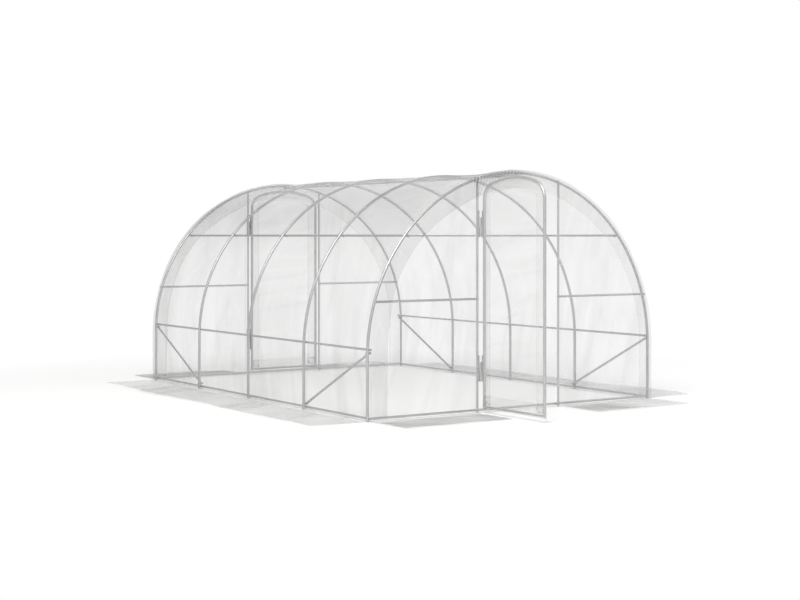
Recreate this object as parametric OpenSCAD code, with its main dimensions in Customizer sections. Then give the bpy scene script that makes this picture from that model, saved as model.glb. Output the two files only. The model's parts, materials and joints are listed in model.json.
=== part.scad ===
// Polytunnel greenhouse: five tube hoops, purlins and rails under a clear film
// cover, with an arched, film-covered door on a lift-off hinge pair at each end.
// The front door is drawn standing open, the back door closed.
// Millimetres, +Z up. The origin is on the ground, in the middle of what the
// tunnel, its ground film and the open front door cover between them.
// +Y runs along the tunnel towards the back door and +X to the right.

/* [Tunnel] */
// Span between the middles of the two legs of a hoop
span = 3000; // [2600:50:3800]
// Distance from the first hoop to the last
tunnel_len = 4000; // [3200:50:6000]
// Height of the straight legs, where the half-round arch begins
leg_h = 500; // [400:10:700]

/* [Frame tubes] */
// Outside diameter of the hoop tube
hoop_d = 25; // [20:1:32]
// Outside diameter of the ridge tube and the purlins
purlin_d = 20; // [16:1:25]
// Outside diameter of the rails along the ground
rail_d = 20; // [16:1:25]
// Outside diameter of the diagonal braces
brace_d = 20; // [16:1:22]
// Outside diameter of the door posts and of the bars beside them
post_d = 20; // [16:1:25]
// Height of the middle of the ground rails
rail_z = 22; // [16:1:40]
// How far up the half-round the lower purlins are, in degrees
lower_purlin_deg = 2.6; // [1:0.2:15]
// How far up the half-round the upper purlins are, in degrees
upper_purlin_deg = 41; // [25:1:65]
// Height of the middle of the gable bars
gable_bar_z = 945; // [750:5:1200]
// Gap between one tube and the tube bolted to it
bolt_gap = 0.2; // [0.1:0.1:1]

/* [Doors] */
// Half the width of a door, to the middles of its stiles
door_half = 390; // [320:5:470]
// Gap between a stile and the door post beside it
door_gap = 22.5; // [18:0.5:30]
// Distance from the middle of the hoop down to the middle of the door's arch, at the crown
over_door = 60; // [50:5:200]
// Height of the arch, from the ends of the straight stiles to its crown
arch_rise = 180; // [160:5:220]
// Radius of the shoulders of the arch
door_corner_r = 140; // [80:5:150]
// Outside diameter of the door's arch and stiles
door_d = 25; // [20:1:30]
// Outside diameter of the door's bottom rail
door_rail_d = 20; // [16:1:22]
// Height of the lower ends of the door above the ground
door_clear = 42; // [38:1:80]
// How much thinner the shoulders' ends are than the tubes that they are pushed into
swage = 0.1; // [0.05:0.05:0.5]
// Gap between the arch tube and the film around it
arch_gap = 15; // [8:1:25]
// How far the front door stands open
front_open = 90; // [0:5:170]

/* [Hinges] */
// Height of the hinge leaves
leaf_h = 216; // [180:2:260]
// How far a leaf reaches over the post or the stile that it is bolted to
leaf_lap = 18.75; // [14:0.25:19]
// Thickness of a leaf
leaf_t = 3; // [2:0.5:4]
// Radius of the knuckles
knuckle_r = 7; // [6:0.5:8]
// Length of one knuckle; the lower one is the post's and the upper one the door's
knuckle_h = 80; // [40:1:100]
// Radius of the pin
pin_r = 3.5; // [3:0.5:4]
// Gap around the pin in the door's knuckle
pin_gap = 0.08; // [0.02:0.01:0.1]
// Gap between the two knuckles of a hinge
knuckle_gap = 0.5; // [0.3:0.1:2]
// Height of the middle of the lower hinge
lower_hinge_z = 370; // [250:5:600]
// Distance from the ends of the straight stiles down to the middle of the upper hinge
upper_hinge_drop = 192; // [140:2:500]

/* [Film] */
// Thickness of the film panels
film_t = 3; // [2:0.5:5]
// Width of the film that lies on the ground outside the walls
skirt_w = 520; // [200:10:600]
// Gap between the film and the tubes that it lies over
film_gap = 0.5; // [0.2:0.1:2]
// Gap between the gable film's edge and the hinge leaves beside it
film_edge_gap = 3; // [1:0.5:10]

/* [Hidden] */
$fn = 48;
arc_step = 3;                       // degrees between the points of a film outline
bay = tunnel_len / 4;
arch_r = span / 2;
hoop_r = hoop_d / 2;

// Everything bolted inside the hoops lies on one layer
inner_r = arch_r - hoop_r - bolt_gap;
purlin_ring_r = inner_r - purlin_d / 2;
rail_x = inner_r - rail_d / 2;
brace_x = inner_r - brace_d / 2;
end_y = tunnel_len / 2 + hoop_r;    // outer side of the end hoops

// Door
door_r = door_d / 2;
door_top_z = leg_h + arch_r - over_door;
door_spring_z = door_top_z - arch_rise;
post_x = door_half + door_r + door_gap + post_d / 2;
pin_x = -(door_half + door_r + door_gap / 2);
leaf_w = door_gap / 2 + leaf_lap;   // from the pin to a leaf's far edge
upper_hinge_z = door_spring_z - upper_hinge_drop;

// The door posts and gable bars are bolted to the outside of the end hoops
post_y = end_y + bolt_gap + post_d / 2;
face_y = post_y + post_d / 2;       // flat front that the door and film share
post_top_z = arch_z(arch_r + hoop_r, post_x + post_d / 2) - bolt_gap;

// Film
film_in_r = arch_r + hoop_r + film_gap;
film_out_r = film_in_r + film_t;
gable_y = face_y + film_gap;        // inner side of the gable film
cover_y = gable_y + film_t;         // outer side of the gable film
gable_r = film_in_r - bolt_gap;     // the gable film ends just inside the cover
cover_parts = 3;                    // pieces that the half-round of the cover is made in
cover_part_deg = 180 / cover_parts;
film_edge_x = max(post_x + post_d / 2, leaf_w - pin_x) + film_edge_gap; // beside the doorway

// Door, drawn closed in the front gable and turned about its pin
door_y = face_y - door_r;
door_rail_z = door_clear + door_r;
pin_y = face_y + film_gap + knuckle_r + 1;

// The tunnel stands back by this much, so that the open door is in the plan's middle too
front_reach = max(cover_y + skirt_w, pin_y + (door_half + door_r - pin_x) * sin(front_open));
plan_shift = (front_reach - cover_y - skirt_w) / 2;

// ---- Outlines -------------------------------------------------------------

// Height of an arch of radius r at the distance x from the tunnel's middle
function arch_z(r, x) = leg_h + sqrt(r * r - x * x);

// Distance from the middle of an arch of radius r at the height z
function arch_x(r, z) = sqrt(r * r - pow(max(0, z - leg_h), 2));

// Points on a circle's arc, both ends included
function arc(cx, cz, r, from, to) =
    let (n = max(2, ceil(abs(to - from) / arc_step)))
    [for (i = [0:n]) let (a = from + (to - from) * i / n) [cx + r * cos(a), cz + r * sin(a)]];

function backwards(points) = [for (i = [len(points) - 1:-1:0]) points[i]];

// The door's arch: two shoulders of door_corner_r and one crown that meets both
shoulder_x = door_half - door_corner_r;
crown_r = (shoulder_x * shoulder_x + arch_rise * arch_rise - door_corner_r * door_corner_r)
    / (2 * (arch_rise - door_corner_r));
crown_z = door_top_z - crown_r;
crown_deg = atan2(door_spring_z - crown_z, shoulder_x); // where shoulder and crown meet

push_deg = 1;                       // how far a shoulder is pushed into the next tube

// The arch's outline from the right spring to the left one, grown by out
function door_arch(out) = concat(
    arc(shoulder_x, door_spring_z, door_corner_r + out, 0, crown_deg),
    arc(0, crown_z, crown_r + out, crown_deg, 180 - crown_deg),
    arc(-shoulder_x, door_spring_z, door_corner_r + out, 180 - crown_deg, 180));

// ---- Helpers --------------------------------------------------------------

module galvanised() { color([0.78, 0.79, 0.80]) children(); }
module hinge_steel() { color([0.45, 0.46, 0.47]) children(); }
module clear_film() { color([0.93, 0.94, 0.94, 0.4]) children(); }

// Puts a front-gable piece into the back gable
module at_back() { mirror([0, 1, 0]) children(); }

// Moves a piece from the tunnel's own middle to its place in the plan
module on_plan() { translate([0, plan_shift, 0]) children(); }

// A straight tube along Y through [x, z]
module tube_y(x, z, d, from, to) {
    translate([x, from, z]) rotate([-90, 0, 0]) cylinder(d = d, h = to - from);
}

// A straight tube along X through [y, z]
module tube_x(y, z, d, from, to) {
    translate([from, y, z]) rotate([0, 90, 0]) cylinder(d = d, h = to - from);
}

// A flat panel with an outline in X and Z, its near side at y and its far side at y + t
module panel(y, t, outline) {
    translate([0, y + t, 0]) rotate([90, 0, 0]) linear_extrude(height = t) polygon(outline);
}

// A bent tube of diameter d: an arc of radius r around [cx, cz], in the plane y
module bend(cx, y, cz, r, d, from, to) {
    translate([cx, y, cz]) rotate([90, 0, 0])
        rotate_extrude(angle = to - from, start = from, $fn = 180)
            translate([r, 0]) circle(d = d);
}

// ---- Frame ----------------------------------------------------------------

module hoop(y) {
    galvanised() {
        for (side = [-1, 1]) translate([side * arch_r, y, 0]) cylinder(d = hoop_d, h = leg_h);
        bend(0, y, leg_h, arch_r, hoop_d, 0, 180);
    }
}

module ridge_tube() {
    galvanised() tube_y(0, leg_h + purlin_ring_r, purlin_d, -end_y, end_y);
}

// deg is how far up the half-round the purlin is
module purlin(side, deg) {
    galvanised() tube_y(side * purlin_ring_r * cos(deg), leg_h + purlin_ring_r * sin(deg),
        purlin_d, -end_y, end_y);
}

module ground_rail_side(side) {
    galvanised() tube_y(side * rail_x, rail_z, rail_d, -end_y, end_y);
}

// Runs from one side rail to the other, in the plane of the end hoop
module ground_rail_end() {
    reach = rail_x - rail_d / 2 - bolt_gap;
    galvanised() tube_x(-tunnel_len / 2, rail_z, rail_d, -reach, reach);
}

// From the end hoop, just under the lower purlin, down to the foot of the next hoop
module brace(side, end) {
    slack = brace_d / 2 + 4;
    top_z = leg_h + purlin_ring_r * sin(lower_purlin_deg) - purlin_d / 2 - slack;
    foot_z = rail_z + rail_d / 2 + slack;
    drop = top_z - foot_z;
    translate([side * brace_x, end * tunnel_len / 2, top_z])
        rotate([end * (90 + atan2(drop, bay)), 0, 0])
            cylinder(d = brace_d, h = sqrt(bay * bay + drop * drop));
}

module braces(side) {
    galvanised() for (end = [-1, 1]) brace(side, end);
}

module door_posts() {
    galvanised() for (side = [-1, 1])
        translate([side * post_x, -post_y, 0]) cylinder(d = post_d, h = post_top_z);
}

// From the hoop to the door post on each side
module gable_bars() {
    inner = post_x + post_d / 2 + bolt_gap;
    outer = arch_x(arch_r + hoop_r, gable_bar_z + post_d / 2) - bolt_gap;
    galvanised() {
        tube_x(-post_y, gable_bar_z, post_d, inner, outer);
        tube_x(-post_y, gable_bar_z, post_d, -outer, -inner);
    }
}

// ---- Film -----------------------------------------------------------------

module film_wall(side) {
    clear_film() translate([side > 0 ? film_in_r : -film_out_r, -cover_y, 0])
        cube([film_t, 2 * cover_y, leg_h]);
}

// One piece of the half-round cover, counted from the right wall
module film_arch(index) {
    from = index * cover_part_deg;
    clear_film() translate([0, 0, leg_h]) rotate([90, 0, 0])
        rotate_extrude(angle = cover_part_deg, start = from, $fn = 180)
            translate([film_in_r, -cover_y]) square([film_t, 2 * cover_y]);
}

// The gable film from the side wall to the door post
module gable_film(side) {
    edge_deg = acos(film_edge_x / gable_r);
    outline = concat([[film_edge_x, 0], [gable_r, 0]], arc(0, leg_h, gable_r, 0, edge_deg));
    clear_film() panel(-cover_y, film_t, [for (p = outline) [side * p[0], p[1]]]);
}

// The gable film between the posts, cut round the door's arch
module film_over_door() {
    edge_deg = acos(film_edge_x / gable_r);
    outline = concat([[film_edge_x, door_spring_z]],
        arc(0, leg_h, gable_r, edge_deg, 180 - edge_deg),
        [[-film_edge_x, door_spring_z]], backwards(door_arch(door_r + arch_gap)));
    clear_film() panel(-cover_y, film_t, outline);
}

// Film on the ground along a side wall
module skirt_side(side) {
    clear_film() translate([side > 0 ? film_out_r : -film_out_r - skirt_w, -cover_y, 0])
        cube([skirt_w, 2 * cover_y, film_t]);
}

// Film on the ground outside a gable, on one side of the doorway
module skirt_end(side) {
    wide = film_out_r - film_edge_x;
    clear_film() translate([side > 0 ? film_edge_x : -film_out_r, -cover_y - skirt_w, 0])
        cube([wide, skirt_w, film_t]);
}

// ---- Doors ----------------------------------------------------------------

module door_frame() {
    galvanised() {
        for (side = [-1, 1]) translate([side * door_half, -door_y, door_clear])
            cylinder(d = door_d, h = door_spring_z - door_clear);
        tube_x(-door_y, door_rail_z, door_rail_d, -door_half, door_half);
        bend(0, -door_y, crown_z, crown_r, door_d, crown_deg, 180 - crown_deg);
        for (side = [0, 1]) mirror([side, 0, 0])
            bend(shoulder_x, -door_y, door_spring_z, door_corner_r, door_d - swage,
                -push_deg, crown_deg + push_deg);
    }
}

// Film inside the door's frame
module door_film() {
    low = door_rail_z + door_rail_d / 2;
    half = door_half - door_r;
    clear_film() panel(-door_y - film_t / 2, film_t,
        concat([[-half, low], [half, low]], door_arch(-door_r)));
}

// One leaf, without its knuckle; side is -1 on the post and 1 on the door
module leaf(side, z, knuckle_from) {
    back_y = face_y + film_gap;
    inner = knuckle_r + 1.5;
    low_z = z - leaf_h / 2;
    translate([pin_x + (side > 0 ? inner : -leaf_w), -back_y - leaf_t, low_z])
        cube([leaf_w - inner, leaf_t, leaf_h]);
    translate([pin_x + (side > 0 ? 0 : -inner - 1), -back_y - leaf_t, low_z + knuckle_from])
        cube([inner + 1, leaf_t, knuckle_h]);
}

module post_leaves() {
    pin_reach = 2 * knuckle_h - 10;
    hinge_steel() for (z = [lower_hinge_z, upper_hinge_z]) {
        leaf(-1, z, 0);
        translate([pin_x, -pin_y, z - leaf_h / 2]) {
            cylinder(r = knuckle_r, h = knuckle_h);
            cylinder(r = pin_r, h = pin_reach);
        }
    }
}

module door_leaves() {
    from = knuckle_h + knuckle_gap;
    hinge_steel() for (z = [lower_hinge_z, upper_hinge_z]) difference() {
        union() {
            leaf(1, z, from);
            translate([pin_x, -pin_y, z - leaf_h / 2 + from])
                cylinder(r = knuckle_r, h = knuckle_h);
        }
        translate([pin_x, -pin_y, z - leaf_h / 2 + from - 1])
            cylinder(r = pin_r + pin_gap, h = knuckle_h + 2);
    }
}

// Turns a closed front door about its pin, outwards
module opened(deg) {
    translate([pin_x, -pin_y, 0]) rotate([0, 0, -deg]) translate([-pin_x, pin_y, 0]) children();
}

// ---- Assembly -------------------------------------------------------------

on_plan() hoop(-2 * bay);  // front_hoop
on_plan() hoop(-bay);  // second_hoop
on_plan() hoop(0);  // middle_hoop
on_plan() hoop(bay);  // fourth_hoop
on_plan() hoop(2 * bay);  // back_hoop
on_plan() ridge_tube();
on_plan() purlin(-1, upper_purlin_deg);  // upper_purlin_left
on_plan() purlin(1, upper_purlin_deg);  // upper_purlin_right
on_plan() purlin(-1, lower_purlin_deg);  // lower_purlin_left
on_plan() purlin(1, lower_purlin_deg);  // lower_purlin_right
on_plan() ground_rail_side(-1);  // ground_rail_left
on_plan() ground_rail_side(1);  // ground_rail_right
on_plan() ground_rail_end();  // ground_rail_front
on_plan() at_back() ground_rail_end();  // ground_rail_back
on_plan() braces(-1);  // braces_left
on_plan() braces(1);  // braces_right
on_plan() door_posts();  // front_door_posts
on_plan() at_back() door_posts();  // back_door_posts
on_plan() gable_bars();  // front_gable_bars
on_plan() at_back() gable_bars();  // back_gable_bars
on_plan() film_wall(-1);  // film_wall_left
on_plan() film_arch(2);  // film_arch_left
on_plan() film_arch(1);  // film_crown
on_plan() film_arch(0);  // film_arch_right
on_plan() film_wall(1);  // film_wall_right
on_plan() gable_film(-1);  // front_film_left
on_plan() gable_film(1);  // front_film_right
on_plan() film_over_door();  // front_film_over_door
on_plan() at_back() gable_film(-1);  // back_film_left
on_plan() at_back() gable_film(1);  // back_film_right
on_plan() at_back() film_over_door();  // back_film_over_door
on_plan() skirt_side(-1);  // skirt_left
on_plan() skirt_side(1);  // skirt_right
on_plan() skirt_end(-1);  // skirt_front_left
on_plan() skirt_end(1);  // skirt_front_right
on_plan() at_back() { skirt_end(-1); skirt_end(1); }  // skirt_back
on_plan() opened(front_open) door_frame();  // front_door_frame
on_plan() opened(front_open) door_film();  // front_door_film
on_plan() opened(front_open) door_leaves();  // front_door_leaves
on_plan() post_leaves();  // front_post_leaves
on_plan() at_back() door_frame();  // back_door_frame
on_plan() at_back() door_film();  // back_door_film
on_plan() at_back() door_leaves();  // back_door_leaves
on_plan() at_back() post_leaves();  // back_post_leaves
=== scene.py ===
"""Looks of a polytunnel greenhouse.

The tubes and hinges are the CAD nodes with better materials. The film cover, the
gable films and the door films are made here as sheets that sag, turn and wrinkle.
The bolts, screws, joint sleeves and tube plugs are made here too.
Everything is in metres. +Y runs along the tunnel to the back door, +Z is up.
"""
import json
import math

import bmesh
import bpy
import numpy as np
from mathutils import Matrix, Vector


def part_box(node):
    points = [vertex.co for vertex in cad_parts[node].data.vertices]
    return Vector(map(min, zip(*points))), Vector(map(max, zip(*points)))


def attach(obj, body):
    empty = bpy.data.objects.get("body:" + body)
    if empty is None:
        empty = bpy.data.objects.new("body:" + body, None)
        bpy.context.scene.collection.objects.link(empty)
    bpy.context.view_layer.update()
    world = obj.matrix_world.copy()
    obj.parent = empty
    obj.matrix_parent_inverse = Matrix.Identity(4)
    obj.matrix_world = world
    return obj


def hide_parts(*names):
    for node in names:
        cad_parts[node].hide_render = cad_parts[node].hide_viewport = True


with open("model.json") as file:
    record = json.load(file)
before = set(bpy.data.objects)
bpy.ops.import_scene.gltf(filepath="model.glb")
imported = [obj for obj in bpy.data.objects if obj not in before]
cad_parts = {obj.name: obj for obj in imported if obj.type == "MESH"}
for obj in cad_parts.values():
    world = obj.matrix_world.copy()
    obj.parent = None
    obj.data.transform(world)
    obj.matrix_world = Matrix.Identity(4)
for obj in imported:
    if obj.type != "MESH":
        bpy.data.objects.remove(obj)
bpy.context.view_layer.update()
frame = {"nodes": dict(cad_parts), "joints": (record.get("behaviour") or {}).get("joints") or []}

# ---- Camera ----------------------------------------------------------------

camera = bpy.data.objects.new("camera", bpy.data.cameras.new("camera"))
bpy.context.scene.collection.objects.link(camera)
camera.location = (-7.640, -11.486, 1.47)
camera.rotation_euler = (math.radians(90), 0, math.radians(-33.796))
camera.data.sensor_width = 36
camera.data.lens = 65.2
camera.data.shift_y = -0.0806
camera.data.clip_start, camera.data.clip_end = 0.1, 300
bpy.context.scene.camera = camera

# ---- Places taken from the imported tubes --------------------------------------


def middle(node):
    low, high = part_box(node)
    return (low + high) / 2


HOOPS = ["front_hoop", "second_hoop", "middle_hoop", "fourth_hoop", "back_hoop"]
hoop_low, hoop_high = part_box("front_hoop")
tube_r = (hoop_high.y - hoop_low.y) / 2          # hoop tube
arch_r = hoop_high.x - tube_r                    # middle of the hoop tube
leg_h = hoop_high.z - tube_r - arch_r
mid_y = middle("middle_hoop").y
hoop_ys = [middle(name).y - mid_y for name in HOOPS]
half_len = hoop_ys[-1]
bay = hoop_ys[1] - hoop_ys[0]
purlin_r = (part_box("ridge_tube")[1].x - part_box("ridge_tube")[0].x) / 2
post_low, post_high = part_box("front_door_posts")
post_x = post_high.x - purlin_r
face_y = mid_y - post_low.y                      # flat front of posts, bars and door
bar_z = middle("front_gable_bars").z
film_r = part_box("film_wall_right")[1].x          # outer side of the cover
skirt_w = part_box("skirt_right")[1].x - film_r
film_edge_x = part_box("front_film_right")[0].x    # film's edge beside the doorway
over_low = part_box("front_film_over_door")[0].z

# the back door is closed, so its box gives the door's own sizes
door_low, door_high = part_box("back_door_frame")
door_r = (door_high.y - door_low.y) / 2
door_half = door_high.x - door_r
door_top = door_high.z - door_r
door_bottom = door_low.z
rail_z = door_bottom + door_r                    # middle of the door's lower tube
spring_z = over_low                              # where the door's arch begins
shoulder_r = 0.140                               # the arch's tight bends
arch_rise = door_top - spring_z
shoulder_x = door_half - shoulder_r
crown_r = (shoulder_x**2 + arch_rise**2 - shoulder_r**2) / (2 * (arch_rise - shoulder_r))
crown_z = door_top - crown_r
quarter = math.pi / 2
hinges = {joint["child"].removesuffix("_door"): joint for joint in frame["joints"]}

# ---- Smooth noise and small helpers -----------------------------------------


def smooth(low, high, value):
    t = np.clip((value - low) / (high - low), 0, 1)
    return t * t * (3 - 2 * t)


class Ripple:
    """Smooth noise from -1 to 1 over a plane, the same at every run."""

    def __init__(self, seed):
        self.table = np.random.default_rng(seed).uniform(-1, 1, (64, 64))

    def __call__(self, a, b):
        i, j = np.floor(a).astype(int), np.floor(b).astype(int)
        s, t = a - i, b - j
        s, t = s**3 * (s * (s * 6 - 15) + 10), t**3 * (t * (t * 6 - 15) + 10)

        def at(di, dj):
            return self.table[(i + di) % 64, (j + dj) % 64]

        low = at(0, 0) * (1 - s) + at(1, 0) * s
        high = at(0, 1) * (1 - s) + at(1, 1) * s
        return low * (1 - t) + high * t


def turned(a, b, degrees):
    c, s = math.cos(math.radians(degrees)), math.sin(math.radians(degrees))
    return a * c - b * s, a * s + b * c


broad, fold_one, fold_two, fine, edge_wave = (Ripple(n) for n in (3, 11, 23, 37, 59))


def folds(noise, a, b, degrees, across, along):
    """Soft creases, from 0 between them to 1 on their ridges, along long lines."""
    p, q = turned(a, b, degrees)
    p = p + 0.25 * across * broad(a / across * 0.35, b / across * 0.35)
    n = noise(p / across, q / along)
    return 1 - np.sqrt(n * n + 0.0015) / 1.001


# ---- Materials ---------------------------------------------------------------


class Wire:
    """A node socket that can be used in plain arithmetic."""

    def __init__(self, paint, socket):
        self.paint, self.socket = paint, socket

    def _sum(self, operation, *values):
        return self.paint.node("ShaderNodeMath", {"operation": operation}, dict(enumerate(values)))

    def __add__(self, other):
        return self._sum("ADD", self, other)

    def __sub__(self, other):
        return self._sum("SUBTRACT", self, other)

    def __mul__(self, other):
        return self._sum("MULTIPLY", self, other)

    def __truediv__(self, other):
        return self._sum("DIVIDE", self, other)

    def __pow__(self, other):
        return self._sum("POWER", self, other)

    def clipped(self, low=0.0, high=1.0):
        return self._sum("MINIMUM", self._sum("MAXIMUM", self, low), high)

    __radd__, __rmul__ = __add__, __mul__


def tone_of(value, green=1.0, blue=1.0):
    """A near grey as a colour; green and blue are shares of the red."""
    return value, value * green, value * blue, 1


class Paint:
    """One procedural material."""

    def __init__(self, name):
        self.material = bpy.data.materials.new(name)
        self.material.use_nodes = True
        self.tree = self.material.node_tree
        self.tree.nodes.clear()
        self.output = self.tree.nodes.new("ShaderNodeOutputMaterial")

    def node(self, kind, settings=None, sockets=None, out=0):
        made = self.tree.nodes.new(kind)
        for key, value in (settings or {}).items():
            setattr(made, key, value)
        for key, value in (sockets or {}).items():
            if isinstance(value, Wire):
                self.tree.links.new(value.socket, made.inputs[key])
            else:
                made.inputs[key].default_value = value
        return Wire(self, made.outputs[out])

    def noise(self, place, scale, detail=3.0, roughness=0.5):
        return self.node("ShaderNodeTexNoise", {}, {
            "Vector": place, "Scale": scale, "Detail": detail, "Roughness": roughness})

    def colour_mix(self, amount, one, two):
        return self.node("ShaderNodeMix", {"data_type": "RGBA"}, {0: amount, 6: one, 7: two}, out=2)

    def mapped(self, place, scale=(1, 1, 1), turn=(0, 0, 0)):
        return self.node("ShaderNodeMapping", {}, {"Vector": place, "Scale": scale, "Rotation": turn})

    def attribute(self, name):
        return self.node("ShaderNodeAttribute", {"attribute_name": name}, {}, out=2)

    def bump(self, height, strength, distance):
        return self.node("ShaderNodeBump", {}, {
            "Height": height, "Strength": strength, "Distance": distance})

    def shade(self, **sockets):
        named = {key.replace("_", " "): value for key, value in sockets.items()}
        return self.surface(self.node("ShaderNodeBsdfPrincipled", {}, named))

    def surface(self, shader):
        self.tree.links.new(shader.socket, self.output.inputs["Surface"])
        return self.material


def galvanised(name, light, dark, rough):
    """Zinc-coated tube: a soft spangle, fine specks and dull patches."""
    p = Paint(name)
    place = p.node("ShaderNodeTexCoord", out=3)
    cloud = p.noise(place, 7.0, 4.0, 0.6)
    spangle = p.node("ShaderNodeTexVoronoi", {"feature": "F1"}, {"Vector": place, "Scale": 150.0}, out=1)
    grain = p.node("ShaderNodeSeparateColor", {}, {0: spangle})
    specks = p.noise(place, 420.0, 2.0, 0.6)
    dull = p.noise(place, 24.0, 5.0, 0.7)
    tone = (cloud * 0.8 + grain * 0.22 + specks * 0.12 - 0.1).clipped()
    colour = p.colour_mix(tone, tone_of(dark, 1.01, 1.02), tone_of(light, 1.01, 1.02))
    colour = p.colour_mix((dull - 0.56).clipped() * 1.6, colour, tone_of(light * 0.86, 1.0, 0.85 / 0.86))
    roughness = rough + (cloud - 0.5) * 0.16 + (dull - 0.5) * 0.22 + grain * 0.05
    return p.shade(Base_Color=colour, Metallic=0.80, Roughness=roughness.clipped(0.15, 0.8),
                   Normal=p.bump(grain * 0.35 + specks * 0.65, 0.25, 0.0004))


def zinc_steel(name, light, dark, rough):
    """Pressed or turned small parts with a plated skin, darker in their pores."""
    p = Paint(name)
    place = p.node("ShaderNodeTexCoord", out=3)
    cloud = p.noise(place, 45.0, 4.0, 0.65)
    pores = p.noise(place, 900.0, 2.0, 0.6)
    brushed = p.noise(p.mapped(place, (260.0, 260.0, 12.0)), 4.0, 2.0, 0.5)
    tone = (cloud * 0.9 + pores * 0.2 + brushed * 0.25 - 0.3).clipped()
    roughness = (rough + (cloud - 0.5) * 0.25 + (pores - 0.5) * 0.1).clipped(0.15, 0.85)
    return p.shade(Base_Color=p.colour_mix(tone, (*dark, 1), (*light, 1)), Metallic=0.85, Roughness=roughness,
                   Normal=p.bump(pores * 0.6 + brushed * 0.4, 0.3, 0.0003))


def clear_film(name, milk=0.115, tint=0.42):
    """Clear sheet with a faint milky cast. Its three attributes, read below in this order, say where it is
    welded or hemmed, with a painted highlight added on the ridges of the gathers; where a fold gets a painted
    highlight on its ridge and painted shade in its hollow (below 0 there); and how dense and how darkly
    shaded it is drawn, which is mostly painted shade."""
    p = Paint(name)
    flat = p.node("ShaderNodeTexCoord", out=2)
    weld, crease, dense = (p.attribute(kind) for kind in ("weld", "crease", "dense"))
    ridge, hollow = crease.clipped(), (crease * -1.0).clipped()
    cloud = p.noise(flat, 1.6, 4.0, 0.55)
    drift = p.noise(p.mapped(flat, (1.0, 7.0, 1.0), (0, 0, 0.4)), 2.2, 3.0, 0.6)
    scuff = p.noise(p.mapped(flat, (1.0, 9.0, 1.0), (0, 0, 1.2)), 14.0, 4.0, 0.65)
    scuff = (scuff - 0.62).clipped()
    dust = p.noise(flat, 240.0, 2.0, 0.7)
    # how much of the light each thing stops: the film, drawn denser where shade is painted, its hems and the
    # gathers' ridges, painted shade in its folds' hollows and less on their ridges as painted highlight, what
    # lies on it, its thickness seen aslant
    edge_on = p.node("ShaderNodeLayerWeight", {}, {"Blend": 0.35}, out=1)
    alpha = milk * dense * (0.70 + cloud * 0.34 + drift * 0.26)
    alpha = alpha + weld * 0.26 + hollow * 0.11 - ridge * 0.06
    alpha = alpha + (dust - 0.64).clipped() * 0.30 + scuff * 0.35 + edge_on**2.2 * 0.43
    cloudy, shaded = tone_of(tint * 1.2, 1.0, 1.19 / 1.2), tone_of(tint * 0.12, 1.0, 0.118 / 0.12)
    colour = p.colour_mix((cloud * 0.5).clipped(), tone_of(tint, 1.0, 0.985), cloudy)
    # painted shade: darker towards the shaded tone where the film is drawn denser
    colour = p.colour_mix(((dense - 1.0) * 0.9).clipped(), colour, shaded)
    # whiter on hems and scuffs; painted highlight on the ridges of folds and of the gathers
    colour = p.colour_mix((weld * 0.75 + ridge * 0.2 + scuff * 3.0).clipped(), colour, tone_of(0.86))
    roughness = (0.34 + cloud * 0.14 + (dust - 0.5) * 0.1 + weld * 0.12).clipped(0.1, 0.6)
    ripple = p.noise(p.mapped(flat, (1.0, 3.0, 1.0), (0, 0, 0.9)), 9.0, 3.0, 0.55)
    return p.shade(Base_Color=colour, Alpha=alpha.clipped(0.03, 0.95), Roughness=roughness, IOR=1.5,
                   Specular_IOR_Level=0.20, Normal=p.bump(ripple * 0.8 + dust * 0.03, 0.15, 0.012))


def plug_plastic(name):
    p = Paint(name)
    place = p.node("ShaderNodeTexCoord", out=3)
    grain = p.noise(place, 700.0, 2.0, 0.6)
    cloud = p.noise(place, 60.0, 3.0, 0.5)
    return p.shade(Base_Color=p.colour_mix(cloud, (0.46, 0.465, 0.47, 1), (0.56, 0.565, 0.57, 1)),
                   Roughness=(0.42 + (grain - 0.5) * 0.3).clipped(), Normal=p.bump(grain, 0.3, 0.0003))


tube_finish = galvanised("galvanised_tube", 0.65, 0.51, 0.38)
door_finish = galvanised("door_tube", 0.68, 0.54, 0.35)
hinge_finish = zinc_steel("hinge_steel", (0.72, 0.725, 0.73), (0.52, 0.525, 0.53), 0.45)
bolt_finish = zinc_steel("bolt_steel", (0.60, 0.605, 0.61), (0.36, 0.365, 0.37), 0.32)
film_finish = clear_film("clear_film")
plug_finish = plug_plastic("tube_plug_plastic")

for name, node in frame["nodes"].items():
    finish = tube_finish
    if "door_frame" in name:
        finish = door_finish
    elif "leaves" in name:
        finish = hinge_finish
    elif "film" in name or "skirt" in name:
        finish = film_finish
    for slot in node.material_slots:
        slot.material = finish

# ---- Making pieces -----------------------------------------------------------


def piece(name, mesh, finish, body):
    made = bpy.data.objects.new(name, mesh)
    bpy.context.scene.collection.objects.link(made)
    mesh.materials.clear()
    mesh.materials.append(finish)
    mesh.polygons.foreach_set("use_smooth", np.full(len(mesh.polygons), True))
    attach(made, body)
    return made


def mark(mesh, weld=0.0, crease=0.0, dense=1.0):
    """Stores what the film material reads at each point."""
    for name, values in (("weld", weld), ("crease", crease), ("dense", dense)):
        attribute = mesh.attributes.new(name, "FLOAT", "POINT")
        attribute.data.foreach_set("value", np.broadcast_to(values, len(mesh.vertices)).astype(float))


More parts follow.
